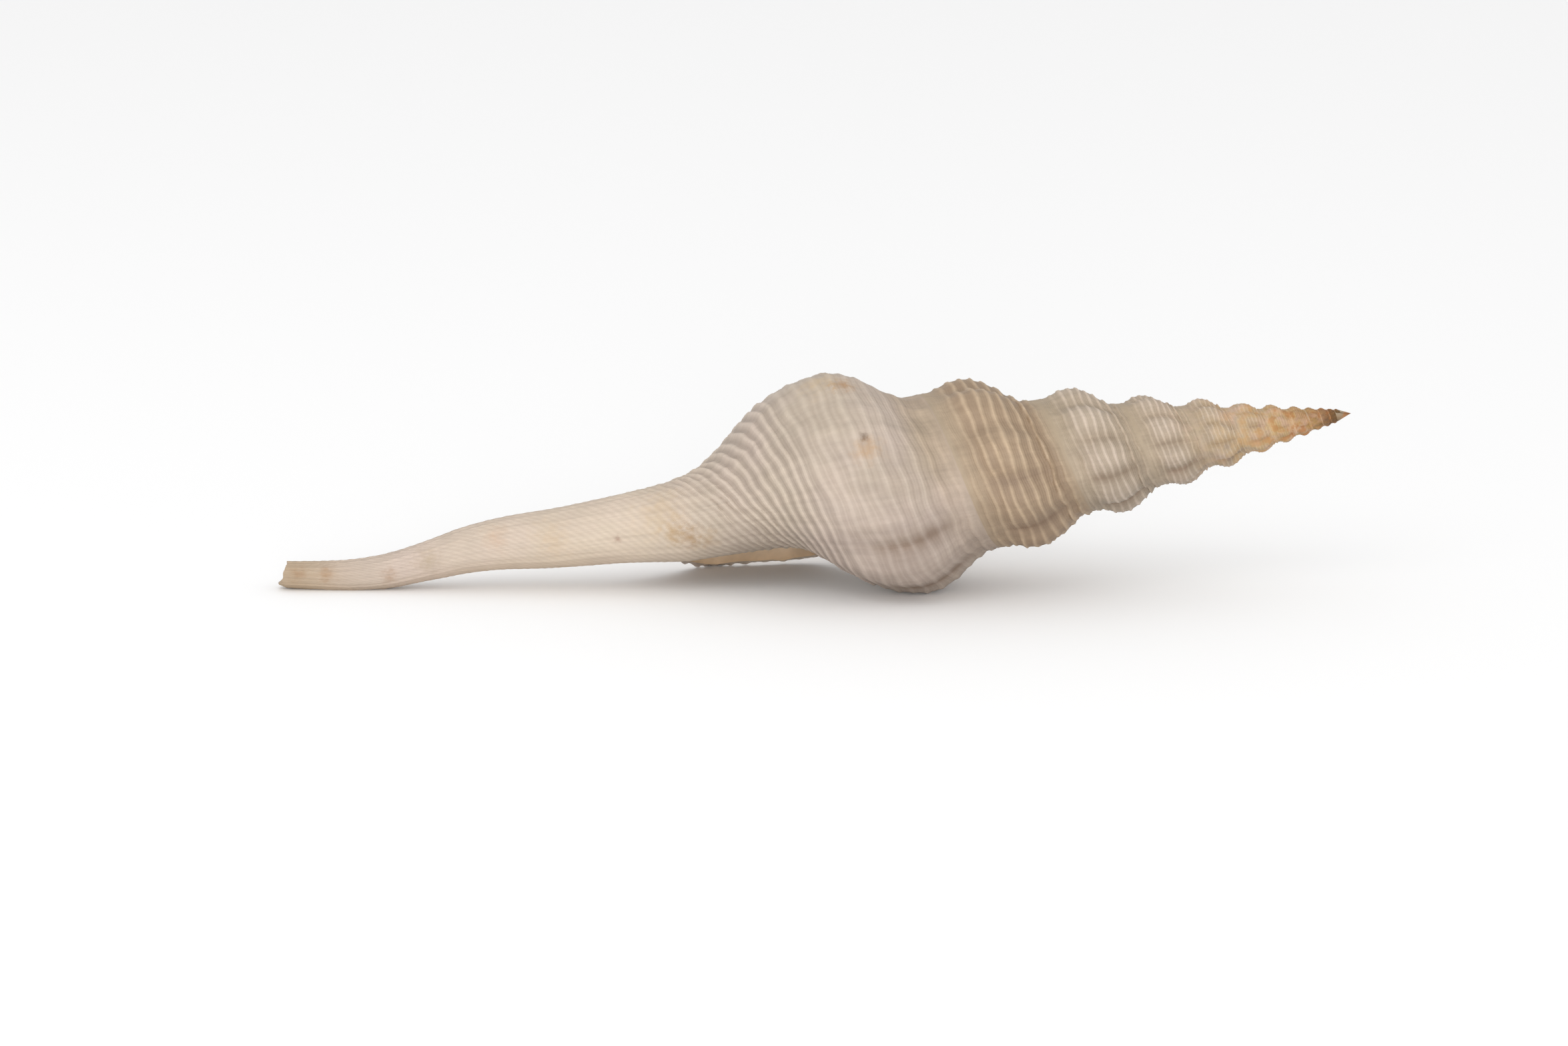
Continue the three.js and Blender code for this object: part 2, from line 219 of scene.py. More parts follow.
def smooth_zone(turn, station):
    """Up to 0.7 where the cords fade out by a suture: the largest of three eased bands, at the top
    of the last whorl, at the top of the earlier ones, and at their foot. They fade less on the
    underside, by a raised cosine of the turn."""
    foot = ease(83.0, 87.0, station) * ease(0.97, 1.0, turn)
    top = (1 - ease(67.5, 71.0, station)) * (1 - ease(1.0, 1.1, turn))
    shoulder = (1 - ease(66.5, 69.0, station)) * ease(1.0, 1.1, turn)
    low_side = 0.5 - 0.5 * np.cos(2 * np.pi * (turn - TOP_TURN))
    band = np.maximum(np.maximum(foot, top), shoulder)
    return SUTURE_CORD_LOSS * band * (1 - 0.8 * low_side)


def suture_line(turn, station):
    """1 on the line where two whorls meet, eased to 0 a little above and below it."""
    foot = ease(LOWER_SUTURE - SUTURE_REACH, LOWER_SUTURE, station) * ease(0.97, 1.0, turn)
    return np.maximum(foot, 1 - ease(UPPER_SUTURE, UPPER_SUTURE + SUTURE_REACH, station))


def underside(turn):
    """1 on the side that the shell lies on and -1 on top: a cosine of the turn."""
    return np.cos(2 * np.pi * (turn - UNDERSIDE_TURN))


def knob(turn, station):
    """Up to 1 on the crest of each rib of the upper whorls: the absolute sine of the rib phase."""
    along = ease(68.0, 75.0, station) * (1 - ease(81.0, 86.0, station))
    return np.abs(np.sin(np.pi * rib_phase(turn))) * along * ease(1.8, 2.3, turn)


def age_of(turn, station):
    """The turn, and on the spire the turn at which the middle of a whorl would lie this far from
    the apex, so that colours run on across the sutures there."""
    along = np.maximum(station * scale_at(turn), 0.5)
    by_place = np.log(WHORL_MIDDLE / along) / np.log(GROWTH_PER_TURN)
    return turn + (by_place - turn) * ease(2.2, 3.0, turn)


def cord_height(turn, station):
    """Crests where the cord phase passes a half: a raised cosine to a power, which is low for the
    round cords of the base and high for the sharp ones of the whorls. On the last turn and up the
    spire a lower thread stands between each two. Cords sink in the furrows, by the sutures, on
    the canal and under the mouth, and stand out as teeth on the lip."""
    phase = cord_phase(turn, station) - 0.5
    sharpness = 1.1 + 1.5 * ease(0.9, 1.1, turn) + 0.7 * (1 - ease(84.0, 92.0, station))
    crest = (0.5 + 0.5 * np.cos(2 * np.pi * phase)) ** sharpness
    thread = (0.5 - 0.5 * np.cos(2 * np.pi * phase)) ** 4.0 * THREAD_SHARE
    threaded = (1 - ease(0.9, 1.4, turn)) + 0.5 * ease(1.9, 2.4, turn)
    between = crest + thread * threaded * (1 - ease(86.0, 91.0, station))
    number = np.floor(phase + 0.5)
    wobble = 1 + 0.25 * np.sin(9.7 * number + 11.0 * turn)
    wobble = wobble + 0.15 * np.sin(5.3 * number + 37.0 * turn)
    low_shoulder = ease(0.5, 0.65, turn) * (1 - ease(70.0, 73.0, station))
    on_body = 1 - BODY_CORD_LOSS * (1 - ease(0.8, 1.1, turn)) * (1 - ease(84.0, 93.0, station))
    on_body = on_body * (1 + low_shoulder)
    canal = 1 - CANAL_CORD_LOSS * ease(98.0, 116.0, station)
    lip_teeth = 1 + LIP_TEETH * (1 - ease(0.0, 0.04, turn)) * ease(78.0, 86.0, station)
    by_suture = 1 - smooth_zone(turn, station)
    end_of_turn = ease(0.90, 0.97, turn) * (1 - ease(1.0, 1.001, turn))
    under_mouth = 1 - end_of_turn * ease(86.0, 90.0, station)
    sunk = 1 - FURROW_CORD_LOSS * furrow_depth(turn, station)
    where = on_body * canal * by_suture * under_mouth * lip_teeth * sunk
    return CORD_HEIGHT * between * wobble * where


def growth_lines(turn, station):
    """Faint lines along the lip as it grew: a sum of sines of the turn, bent by the station."""
    bent = turn + 0.004 * np.sin(station / 4.0)
    fine = np.sin(2 * np.pi * 47.0 * bent) + 0.8 * np.sin(2 * np.pi * 71.3 * bent + 1.7)
    slow = np.sin(2 * np.pi * 17.2 * bent + 0.6) + 0.9 * np.sin(2 * np.pi * 26.9 * bent + 2.1)
    return FINE_GROWTH * fine + SLOW_GROWTH * slow


def scale_at(turn):
    """The growth per turn to the power of minus the turns before the lip."""
    return GROWTH_PER_TURN ** -turn


def lip_flare(turn, station):
    """How far the lip spreads outward by the canal and draws in above it, over the last of the
    growth: a curve of the station, eased away with the turn."""
    return smooth_curve(LIP_FLARE, station) * (1 - ease(0.0, FLARE_TURNS, turn))


def neck_fill(turn, station):
    """Each whorl before the last spreads at its foot to meet the next one, by a share of the square
    of the distance past the foot's start. The one before the last is also a little fuller."""
    fuller = WHORL_FILL * ease(66.0, 74.0, station) * (1 - ease(1.8, 2.6, turn))
    spread = FOOT_SPREAD * np.maximum(station - FOOT_START, 0) ** 2
    return (fuller + spread) * ease(1.0, 1.05, turn)


def outer_radius(turn, along):
    """The whorl's outline with ribs, cords and growth lines, scaled to its turn. On the last turn
    it runs into the canal, by the rounded larger of the two, and at the apex it is stouter by a
    bell curve."""
    scale = scale_at(turn)
    station = along / scale
    relief = cord_height(turn, station) * scale ** -0.15 + growth_lines(turn, station)
    outline = smooth_curve(LIP_OUTLINE, station) + rib_height(turn, station)
    outline = outline + lip_flare(turn, station) + neck_fill(turn, station)
    whorl = np.where(station < BODY_END, scale * outline, 0.0)
    canal = smooth_curve(CANAL_OUTLINE, along) * (1 + CANAL_LEAN * (0.5 - turn))
    stout = STOUT_APEX * np.exp(-((along / STOUT_FADE) ** 2)) * ease(0.0, 0.8, along)
    whole = np.where(turn > 1, whorl + stout, rounded_max(whorl, canal))
    return whole + scale * relief


def lying_point(along, radius, angle):
    """A point at that distance down the axis, radius and angle, with the canal's bend added and
    the whole pitched so that the apex end is raised. Angles run from straight down to +Y."""
    x = -along
    y = radius * np.sin(np.radians(angle))
    z = smooth_curve(CANAL_RISE, along) - radius * np.cos(np.radians(angle))
    c, s = np.cos(REST_PITCH), np.sin(REST_PITCH)
    return np.stack([x * c - z * s, y, x * s + z * c], axis=-1)


# The outer surface is one net of points, closer together where the cords are larger. Its rows
# follow the lip at each stage of growth, and its lines follow the cords down the whorl.
LAST_TURN_ROWS = 216
CANAL_ROWS = 108
CANAL_LINES = 150
POINTS_PER_CORD = 6
FINE_TURNS = 5
TURNS = 11.5
UPPER_POINTS_PER_CORD = 3
SECOND_TURN_ROWS = 170.0
LEAST_ROWS_A_TURN = 62.0
BREAK_SLANT = 1.8
BREAK_WAVES = [(0.08, 5), (0.05, 9)]
END_WEAR, END_WEAR_BEFORE, END_WEAR_PAST = 0.35, 1.6, 0.3
APEX_END, TIP_DIMPLE = 0.45, 1.4


def grid_faces(ids):
    """Two triangles for each square of a grid of point numbers, rows first."""
    a, b = ids[:-1, :-1].ravel(), ids[1:, :-1].ravel()
    c, d = ids[1:, 1:].ravel(), ids[:-1, 1:].ravel()
    return np.concatenate([np.stack([a, b, c], 1), np.stack([a, c, d], 1)])


def zipped_faces(line_a, place_a, line_b, place_b):
    """Triangles between two lines of points with different spacing. The next point of either
    line, in order of its place, closes the next triangle."""
    places = np.concatenate([place_a[1:], place_b[1:]])
    from_a = np.concatenate([np.ones(len(place_a) - 1, bool), np.zeros(len(place_b) - 1, bool)])
    order = np.argsort(places, kind="stable")
    from_a = from_a[order]
    at_a, at_b = np.cumsum(from_a), np.cumsum(~from_a)
    step_a = np.stack([line_a[at_a - 1], line_b[at_b], line_a[at_a]], 1)[from_a]
    step_b = np.stack([line_a[at_a], line_b[at_b - 1], line_b[at_b]], 1)[~from_a]
    return np.concatenate([step_a, step_b])


def fan_faces(loop, centre):
    """A triangle from each step of a loop to one point."""
    return np.stack([loop, np.roll(loop, -1), np.full(len(loop), centre)], 1)


def upper_turn_rows():
    """Rows past the first turn: each step is longer than the last by the growth, down to a least
    count of rows to a turn, so that the net keeps its mesh size as the whorls get smaller."""
    shrink = np.log(GROWTH_PER_TURN)
    count = int((SECOND_TURN_ROWS - LEAST_ROWS_A_TURN) / shrink)
    fine = 1 - np.log(1 - shrink * np.arange(count) / SECOND_TURN_ROWS) / shrink
    rest = np.arange(fine[-1] + 1 / LEAST_ROWS_A_TURN, TURNS, 1 / LEAST_ROWS_A_TURN)
    return np.concatenate([fine, rest])[1:]


def outer_net():
    """Points, triangles, turns and stations of the outer surface. Each point is the outer radius at
    its turn and station, laid at the angle of its turn. Blocks of rows and lines cover the last
    turn, the upper whorls and the canal, and a flat wall closes the mouth, to be cut open later."""
    whorl = np.linspace(UPPER_SUTURE, LOWER_SUTURE, POINTS_PER_CORD * CORDS_PER_WHORL + 1)
    base = np.linspace(LOWER_SUTURE, BASE_END, POINTS_PER_CORD * CORDS_ON_BASE + 1)[1:]
    sparse = whorl[:: POINTS_PER_CORD // UPPER_POINTS_PER_CORD]
    body = np.concatenate([whorl, base])
    seam = len(whorl) - 1
    later = upper_turn_rows()
    last_turn = np.linspace(0, 1, LAST_TURN_ROWS + 1)
    canal_turn = np.linspace(0, 1, CANAL_ROWS + 1)
    blocks = []
    for turns, stations in (
        (last_turn, body),
        (later[later <= FINE_TURNS], whorl),
        (later[later > FINE_TURNS], sparse),
    ):
        turn, station = np.meshgrid(turns, stations, indexing="ij")
        blocks.append((turn, station * scale_at(turn)))
    turn, share = np.meshgrid(canal_turn, np.linspace(0, 1, CANAL_LINES + 1)[1:], indexing="ij")
    start = BASE_END * scale_at(turn)
    around = np.radians(LIP_ANGLE + 360 * turn)
    broken_end = TIP - BREAK_SLANT * (1 - np.cos(around)) / 2
    for reach, waves in BREAK_WAVES:
        broken_end = broken_end + reach * np.sin(waves * around)
    blocks.append((turn, start + (broken_end - start) * share))
    counts = np.cumsum([0] + [t.size for t, _ in blocks])
    body_ids, fine_ids, sparse_ids, canal_ids = [
        np.arange(counts[k], counts[k + 1]).reshape(blocks[k][0].shape) for k in range(4)
    ]
    turn = np.concatenate([t.ravel() for t, _ in blocks])
    along = np.concatenate([a.ravel() for _, a in blocks])
    radius = outer_radius(turn, along)
    end_wear = 1 - END_WEAR * ease(TIP - END_WEAR_BEFORE, TIP + END_WEAR_PAST, along) ** 2
    points = lying_point(along, radius * end_wear, LIP_ANGLE + 360 * turn)

    # Each whorl's upper edge is zipped to the lower edge of the one a turn before it.
    whorl_ids = np.concatenate([body_ids[-1:, : seam + 1], fine_ids])
    upper_ids = np.concatenate([body_ids[:, 0], fine_ids[:, 0], sparse_ids[:, 0]])
    lower_ids = np.concatenate([whorl_ids[:, -1], sparse_ids[:, -1]])
    joined = turn[upper_ids] <= turn[upper_ids[-1]] - 1
    mouth_inner = np.concatenate([body_ids[-1, seam:], canal_ids[-1]])
    mouth_outer = np.concatenate([body_ids[0], canal_ids[0]])
    apex, tip = len(points), len(points) + 1
    ends = np.array([[APEX_END, 0.0, 0.0], [TIP - TIP_DIMPLE, 0.0, 0.0]])
    points = np.concatenate([points, lying_point(*ends.T)])
    last_edge = upper_ids[np.count_nonzero(joined) - 1 :]
    apex_loop = np.concatenate([last_edge, sparse_ids[-1, 1:]])[::-1]
    faces = np.concatenate([
        grid_faces(body_ids),
        grid_faces(canal_ids),
        grid_faces(whorl_ids),
        grid_faces(sparse_ids),
        zipped_faces(canal_ids[:, 0], canal_turn, body_ids[:, -1], last_turn),
        zipped_faces(fine_ids[-1], whorl, sparse_ids[0], sparse),
        zipped_faces(upper_ids[joined], turn[upper_ids[joined]], lower_ids, turn[lower_ids] - 1),
        zipped_faces(mouth_inner, along[mouth_inner], mouth_outer, along[mouth_outer]),
        fan_faces(apex_loop, apex),
        fan_faces(canal_ids[:, -1], tip),
    ])
    turn = np.append(turn, [TURNS, 0.5])
    along = np.append(along, ends[:, 0])
    return points, faces, turn, along / scale_at(turn)


# The hollow and the slot are the room the animal lived in. The hollow winds up inside the wall,
# which is thin at the lip and thicker up the spire, where furrows cut in. The slot opens the
# canal along its whole length.
HOLLOW_TURNS = 3.0
HOLLOW_CENTRE = 85.2
HOLLOW_REACH = 18.0
HOLLOW_RINGS_A_TURN = 40
HOLLOW_SIDES = 72
LIP_RINGS = 20
THIN_WALL_TURNS, CORDED_WALL_TURNS = 0.12, 0.1
COLUMELLA_RADIUS = 5.5
CALLUS_THICKNESS = 0.3
LIP_THICKNESS = 0.35
WALL_THICKNESS = 1.3
FURROWED_WALL = 1.4
LEAST_OUTSIDE, LEAST_HALF_WIDTH = 5.0, 0.5
HOLLOW_SQUARENESS = 0.6
SLOT_ANGLE = 47.5
SLOT_START, BORE_START, SLOT_END = 95, 108, 154
BORE_SHARE, SLOT_SHARE, BORE_DEPTH_SHARE, SLOT_REACH_SHARE = 0.4, 0.17, 0.33, 1.45
MOUTH_DEPTH, MOUTH_REACH = 5.6, 4.5
BORE_SIDES = 20


def tube_faces(rings, sides):
    """Squares around each step of a closed tube, with a fan to a middle point at each end."""
    ids = np.arange(rings * sides).reshape(rings, sides)
    ids = np.concatenate([ids, ids[:, :1]], axis=1)
    first, last = rings * sides, rings * sides + 1
    return np.concatenate([
        grid_faces(ids), fan_faces(ids[0, :-1], first), fan_faces(ids[-1, -2::-1], last),
    ])


def hollow_net():
    """Rings about the middle of the room. Each ring goes round by a cosine down the whorl, and by a
    sine to the power 0.6 from the whorl before it out to the wall. By the lip the wall is thin,
    and the room's outside follows the whorl's cords and the flare of the lip."""
    turns = np.arange(-0.5 / HOLLOW_RINGS_A_TURN, HOLLOW_TURNS, 1 / HOLLOW_RINGS_A_TURN)
    turns = np.union1d(turns, np.linspace(0, THIN_WALL_TURNS, LIP_RINGS))
    around = np.arange(HOLLOW_SIDES) * 2 * np.pi / HOLLOW_SIDES
    turn, around = np.meshgrid(turns, around, indexing="ij")
    station = HOLLOW_CENTRE - HOLLOW_REACH * np.cos(around)
    scale = scale_at(turn)
    by_lip = 1 - ease(0.0, CORDED_WALL_TURNS, turn)
    thinner = (LIP_THICKNESS - WALL_THICKNESS) * (1 - ease(0.0, THIN_WALL_TURNS, turn))
    wall = WALL_THICKNESS + thinner + FURROWED_WALL * ease(0.6, 1.8, turn)
    on_whorl = 1 - ease(84.0, 88.0, station)
    corded = cord_height(np.maximum(turn, 0), station) * by_lip * on_whorl
    corded = corded + lip_flare(np.maximum(turn, 0), station)
    outline = rounded_max(smooth_curve(LIP_OUTLINE, station), LEAST_OUTSIDE)
    outside = scale * (outline + corded - wall)
    earlier = smooth_curve(LIP_OUTLINE, GROWTH_PER_TURN * station) / GROWTH_PER_TURN
    inside = scale * (rounded_max(earlier, COLUMELLA_RADIUS) + CALLUS_THICKNESS)
    half = np.maximum((outside - inside) / 2, LEAST_HALF_WIDTH * scale)
    across = np.sin(around)
    rounding = np.sign(across) * np.abs(across) ** HOLLOW_SQUARENESS
    radius = (outside + inside) / 2 + half * rounding
    points = lying_point(station * scale, radius, LIP_ANGLE + 360 * turn).reshape(-1, 3)
    ends = points.reshape(len(turns), HOLLOW_SIDES, 3)[[0, -1]].mean(axis=1)
    faces = tube_faces(len(turns), HOLLOW_SIDES)
    return np.concatenate([points, ends]), faces, turn.ravel(), station.ravel()


def slot_net():
    """Keyhole sections down the canal: a round bore, drawn by a sine and a cosine, and a narrow
    slot that runs straight from it to the outside. In the mouth the bore lies further out."""
    by_mouth = np.linspace(SLOT_START, BORE_START, 16)[:-1]
    along = np.concatenate([by_mouth, np.linspace(BORE_START, SLOT_END, 52)])
    canal = smooth_curve(CANAL_OUTLINE, along)
    past_mouth = ease(SLOT_START, BORE_START, along)
    depth = MOUTH_DEPTH + (BORE_DEPTH_SHARE * canal - MOUTH_DEPTH) * past_mouth
    bore, half_slot = BORE_SHARE * canal, SLOT_SHARE * canal
    outside = SLOT_REACH_SHARE * canal + MOUTH_REACH * (1 - ease(103, 105, along))
    start = np.arcsin(half_slot / bore)
    arc = start[:, None] + (2 * np.pi - 2 * start[:, None]) * np.linspace(0, 1, BORE_SIDES)
    side = np.concatenate([half_slot[:, None], bore[:, None] * np.sin(arc), -half_slot[:, None]], 1)
    arc_out = depth[:, None] + bore[:, None] * np.cos(arc)
    out = np.concatenate([outside[:, None], arc_out, outside[:, None]], 1)
    angle = SLOT_ANGLE + np.degrees(np.arctan2(side, out))
    rings, sides = side.shape
    along = np.repeat(along[:, None], sides, axis=1)
    points = lying_point(along, np.hypot(side, out), angle)
    ends = points[[0, -1]].mean(axis=1)
    points = np.concatenate([points.reshape(-1, 3), ends])
    return points, tube_faces(rings, sides), np.zeros(along.size), along.ravel()


def facing_out(points, faces):
    """The faces, turned round if the volume they close comes out negative."""
    a, b, c = (points[faces[:, k]] for k in range(3))
    volume = np.einsum("ij,ij->i", a, np.cross(b, c)).sum()
    return faces if volume > 0 else faces[:, ::-1]


def closed_mesh(name, net):
    """A mesh of a closed net, in metres, that carries each point's turn and station."""
    points, faces, turn, station = net
    faces = facing_out(points, faces)
    mesh = bpy.data.meshes.new(name)
    mesh.vertices.add(len(points))
    mesh.vertices.foreach_set("co", (points * MM).astype(np.float32).ravel())
    mesh.loops.add(faces.size)
    mesh.loops.foreach_set("vertex_index", faces.astype(np.int32).ravel())
    mesh.polygons.add(len(faces))
    mesh.polygons.foreach_set("loop_start", np.arange(0, faces.size, 3, dtype=np.int32))
    mesh.update(calc_edges=True)
    mesh.validate()
    for label, values in (("turn", turn), ("station", station)):
        whole = np.zeros(len(points), np.float32)
        whole[: len(values)] = values
        mesh.attributes.new(label, "FLOAT", "POINT").data.foreach_set("value", whole)
    body = bpy.data.objects.new(name, mesh)
    bpy.context.scene.collection.objects.link(body)
    return body


# The room is cut out of the outer net, and points that fall together in the cut are merged.
SAME_POINT = 5e-6
SHARP_EDGE = np.radians(55)

shell = closed_mesh("spindle_shell", outer_net())
outside_faces, inside_faces = 0, 1
for cutter in (closed_mesh("hollow", hollow_net()), closed_mesh("canal_slot", slot_net())):
    count = len(cutter.data.polygons)
    for piece in (shell, cutter):
        while len(piece.data.materials) < 2:
            piece.data.materials.append(None)
    cutter.data.polygons.foreach_set("material_index", np.full(count, inside_faces, np.int32))
    cut = shell.modifiers.new("cut", "BOOLEAN")
    cut.operation = "DIFFERENCE"
    cut.solver = "MANIFOLD"
    cut.object = cutter
carved = bpy.data.meshes.new_from_object(shell.evaluated_get(bpy.context.evaluated_depsgraph_get()))
shell.modifiers.clear()
shell.data = carved
merged = bmesh.new()
merged.from_mesh(carved)
bmesh.ops.remove_doubles(merged, verts=merged.verts, dist=SAME_POINT)
bmesh.ops.dissolve_degenerate(merged, dist=SAME_POINT, edges=merged.edges)
bmesh.ops.triangulate(merged, faces=merged.faces)
merged.to_mesh(carved)
merged.free()
for name in ("hollow", "canal_slot"):
    bpy.data.objects.remove(bpy.data.objects[name])

# The lowest spots are worn flat, down to the height of the solid, and the shell is set down
# where that solid lies.
points = np.empty(len(carved.vertices) * 3, np.float32)
carved.vertices.foreach_get("co", points)
points = points.reshape(-1, 3)
points[:, 2] = np.maximum(points[:, 2], points[:, 2].max() - (solid_high[2] - solid_low[2]))
low, high = points.min(axis=0), points.max(axis=0)
to_middle = (solid_low[1] + solid_high[1] - low[1] - high[1]) / 2
points += np.array([solid_high[0] - high[0], to_middle, -low[2]])
carved.vertices.foreach_set("co", points.ravel())
carved.update()
carved.polygons.foreach_set("use_smooth", np.ones(len(carved.polygons), bool))
carved.set_sharp_from_angle(angle=SHARP_EDGE)

# The materials read these values, which each point of the surface carries.
turn, station = (np.empty(len(carved.vertices), np.float32) for _ in range(2))
carved.attributes["turn"].data.foreach_get("value", turn)
carved.attributes["station"].data.foreach_get("value", station)
for label, values in (
    ("along", station * scale_at(turn)), ("cord", cord_phase(turn, station)),
    ("furrow", furrow_depth(turn, station)), ("smooth", smooth_zone(turn, station)),
    ("knob", knob(turn, station)), ("age", age_of(turn, station)),
    ("suture", suture_line(turn, station)), ("underside", underside(turn)),
):
    values = values.astype(np.float32)
    carved.attributes.new(label, "FLOAT", "POINT").data.foreach_set("value", values)

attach(shell, "root")
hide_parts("shell")


# The outside is dull, weathered lime. Cord crests are ivory over grey-brown troughs, the whorl
# before the last is tan, and the spire is stained with rust. Colours run along the growth, so
# they are read off the turn, and stains sit at places on the object, in mm.
RAMP_TURNS = 12.0
CREST_COLOURS = [
    (0.0, (0.50, 0.43, 0.37)), (0.95, (0.48, 0.41, 0.345)), (1.06, (0.44, 0.34, 0.245)),
    (1.95, (0.47, 0.355, 0.25)), (2.2, (0.46, 0.38, 0.305)), (3.1, (0.46, 0.375, 0.295)),
    (4.2, (0.45, 0.365, 0.28)), (5.2, (0.54, 0.44, 0.33)), (6.5, (0.53, 0.40, 0.25)),
    (8.0, (0.51, 0.30, 0.12)), (9.8, (0.37, 0.18, 0.065)), (11.2, (0.27, 0.155, 0.06)),
]
# The troughs are partly their own grey-brown and partly painted shade between the cords.
TROUGH_COLOURS = [
    (0.0, (0.42, 0.355, 0.30)), (0.95, (0.37, 0.305, 0.255)), (1.06, (0.29, 0.213, 0.15)),
    (1.95, (0.30, 0.217, 0.15)), (2.2, (0.32, 0.26, 0.20)), (3.1, (0.32, 0.26, 0.20)),
    (4.2, (0.34, 0.27, 0.20)), (5.2, (0.42, 0.31, 0.22)), (6.5, (0.40, 0.27, 0.15)),
    (8.0, (0.33, 0.18, 0.075)), (9.8, (0.18, 0.085, 0.03)), (11.2, (0.17, 0.095, 0.035)),
]
CANAL_CREST, CANAL_TROUGH = (0.57, 0.487, 0.408), (0.525, 0.443, 0.37)
WARM_TINT, PINK_TINT = (1.0, 0.98, 0.92), (1.0, 0.955, 0.96)
# Painted shade in the furrows between ribs, and deeper painted shade in the deepest of them.
FURROW_SHADE_COLOUR = (0.19, 0.135, 0.095)
DEEP_FURROW_SHADE_COLOUR = (0.17, 0.105, 0.065)
KNOB_AND_HIGHLIGHT_COLOUR = (0.58, 0.49, 0.43)
OLIVE_COLOUR = (0.355, 0.285, 0.21)
RUST_COLOUR = (0.40, 0.17, 0.06)
OCHRE_COLOUR = (0.58, 0.39, 0.15)
ROSY_COLOUR = (0.66, 0.42, 0.34)
TIP_COLOUR = (0.44, 0.325, 0.21)
STAINS = [
    # X, Y, Z, radius, strength, colour
    (7.0, -13.8, 24.6, 0.95, 1.0, (0.06, 0.027, 0.008)),
    (7.1, -14.0, 24.1, 0.8, 0.90, (0.10, 0.05, 0.018)),
    (7.6, -14.8, 23.0, 2.8, 0.65, (0.43, 0.26, 0.13)),
    (4.3, -5.1, 29.9, 2.7, 0.80, (0.36, 0.19, 0.075)),
    (1.0, -3.7, 29.8, 4.2, 0.45, (0.55, 0.40, 0.22)),
    (-18.8, -6.5, 9.3, 2.8, 0.70, (0.37, 0.24, 0.12)),
    (-16.8, -6.6, 8.7, 2.8, 0.80, (0.31, 0.195, 0.10)),
    (-14.3, -6.3, 8.2, 2.4, 0.50, (0.36, 0.24, 0.13)),
    (-20.9, -5.8, 12.1, 5.5, 0.35, (0.56, 0.40, 0.22)),
    (-26.8, -5.8, 8.1, 0.9, 0.80, (0.28, 0.16, 0.11)),
    (-43.8, -4.3, 8.1, 2.8, 0.40, (0.56, 0.36, 0.24)),
    (-53.4, -3.9, 4.5, 3.0, 0.50, (0.36, 0.27, 0.16)),
    (-58.7, -3.4, 2.2, 1.8, 0.65, (0.34, 0.20, 0.11)),
    (-67.5, -3.1, 2.4, 2.1, 0.60, (0.38, 0.22, 0.11)),
    (-71.4, -3.0, 2.6, 1.9, 0.65, (0.36, 0.21, 0.11)),
    (-35.7, -5.3, 7.9, 4.5, 0.30, (0.60, 0.42, 0.24)),
]


def wired(tree, kind, *inputs, **settings):
    """A node with its settings made and its inputs filled in order, where an input is a value,
    another node's output, or None to leave it alone."""
    made = tree.nodes.new(kind)
    for name, value in settings.items():
        setattr(made, name, value)
    for socket, value in zip(made.inputs, inputs):
        if isinstance(value, bpy.types.NodeSocket):
            tree.links.new(value, socket)
        elif value is not None:
            socket.default_value = value
    return made


def maths(tree, operation, *inputs):
    """One step of arithmetic, as a node's output."""
    return wired(tree, "ShaderNodeMath", *inputs, operation=operation).outputs[0]


def product(tree, first, *others):
    """All the inputs multiplied together."""
    for other in others:
        first = maths(tree, "MULTIPLY", first, other)
    return first


def eased(tree, value, low, high):
    """0 at low and 1 at high, with soft ends. Low may be the larger."""
    return wired(
        tree, "ShaderNodeMapRange", value, low, high, interpolation_type="SMOOTHSTEP"
    ).outputs[0]


def grown(tree, label):
    """One of the values that the surface carries, such as turn or station, at this spot."""
    return wired(tree, "ShaderNodeAttribute", attribute_name=label).outputs["Fac"]


def blended(tree, share, first, second, kind="MIX"):
    """Two colours mixed by a share."""
    made = wired(tree, "ShaderNodeMix", data_type="RGBA", blend_type=kind)
    sockets = (made.inputs[0], made.inputs[6], made.inputs[7])
    for socket, value in zip(sockets, (share, first, second)):
        if isinstance(value, bpy.types.NodeSocket):
            tree.links.new(value, socket)
        elif isinstance(value, tuple):
            socket.default_value = (*value, 1.0)
        else:
            socket.default_value = value
    return made.outputs[2]


def blended_number(tree, share, first, second):
    """Two numbers mixed by a share."""
    return wired(tree, "ShaderNodeMix", share, None, first, second).outputs[0]


def dimmed(tree, colour, share):
    """A colour multiplied by a number."""
    grey = wired(tree, "ShaderNodeCombineColor", share, share, share).outputs[0]
    return blended(tree, 1.0, colour, grey, "MULTIPLY")


def colour_by_turn(tree, turn, stops):
    """The colour at that turn, eased from stop to stop."""
    made = wired(tree, "ShaderNodeValToRGB", maths(tree, "DIVIDE", turn, RAMP_TURNS))
    ramp = made.color_ramp
    while len(ramp.elements) < len(stops):
        ramp.elements.new(1.0)
    for element, (at, colour) in zip(ramp.elements, stops):
        element.position = at / RAMP_TURNS
        element.color = (*colour, 1.0)
    return made.outputs["Color"]


def paint(name):
    """A new material with its node tree and its surface shader."""
    material = bpy.data.materials.new(name)
    material.use_nodes = True
    return material, material.node_tree, material.node_tree.nodes["Principled BSDF"]


def effect(name, inputs, output):
    """An empty node group with named number inputs and one named number output."""
    group = bpy.data.node_groups.new(name, "ShaderNodeTree")
    for label in inputs:
        group.interface.new_socket(label, in_out="INPUT", socket_type="NodeSocketFloat")
    group.interface.new_socket(output, in_out="OUTPUT", socket_type="NodeSocketFloat")
    given = group.nodes.new("NodeGroupInput").outputs
    taken = group.nodes.new("NodeGroupOutput").inputs
    return group, given, taken


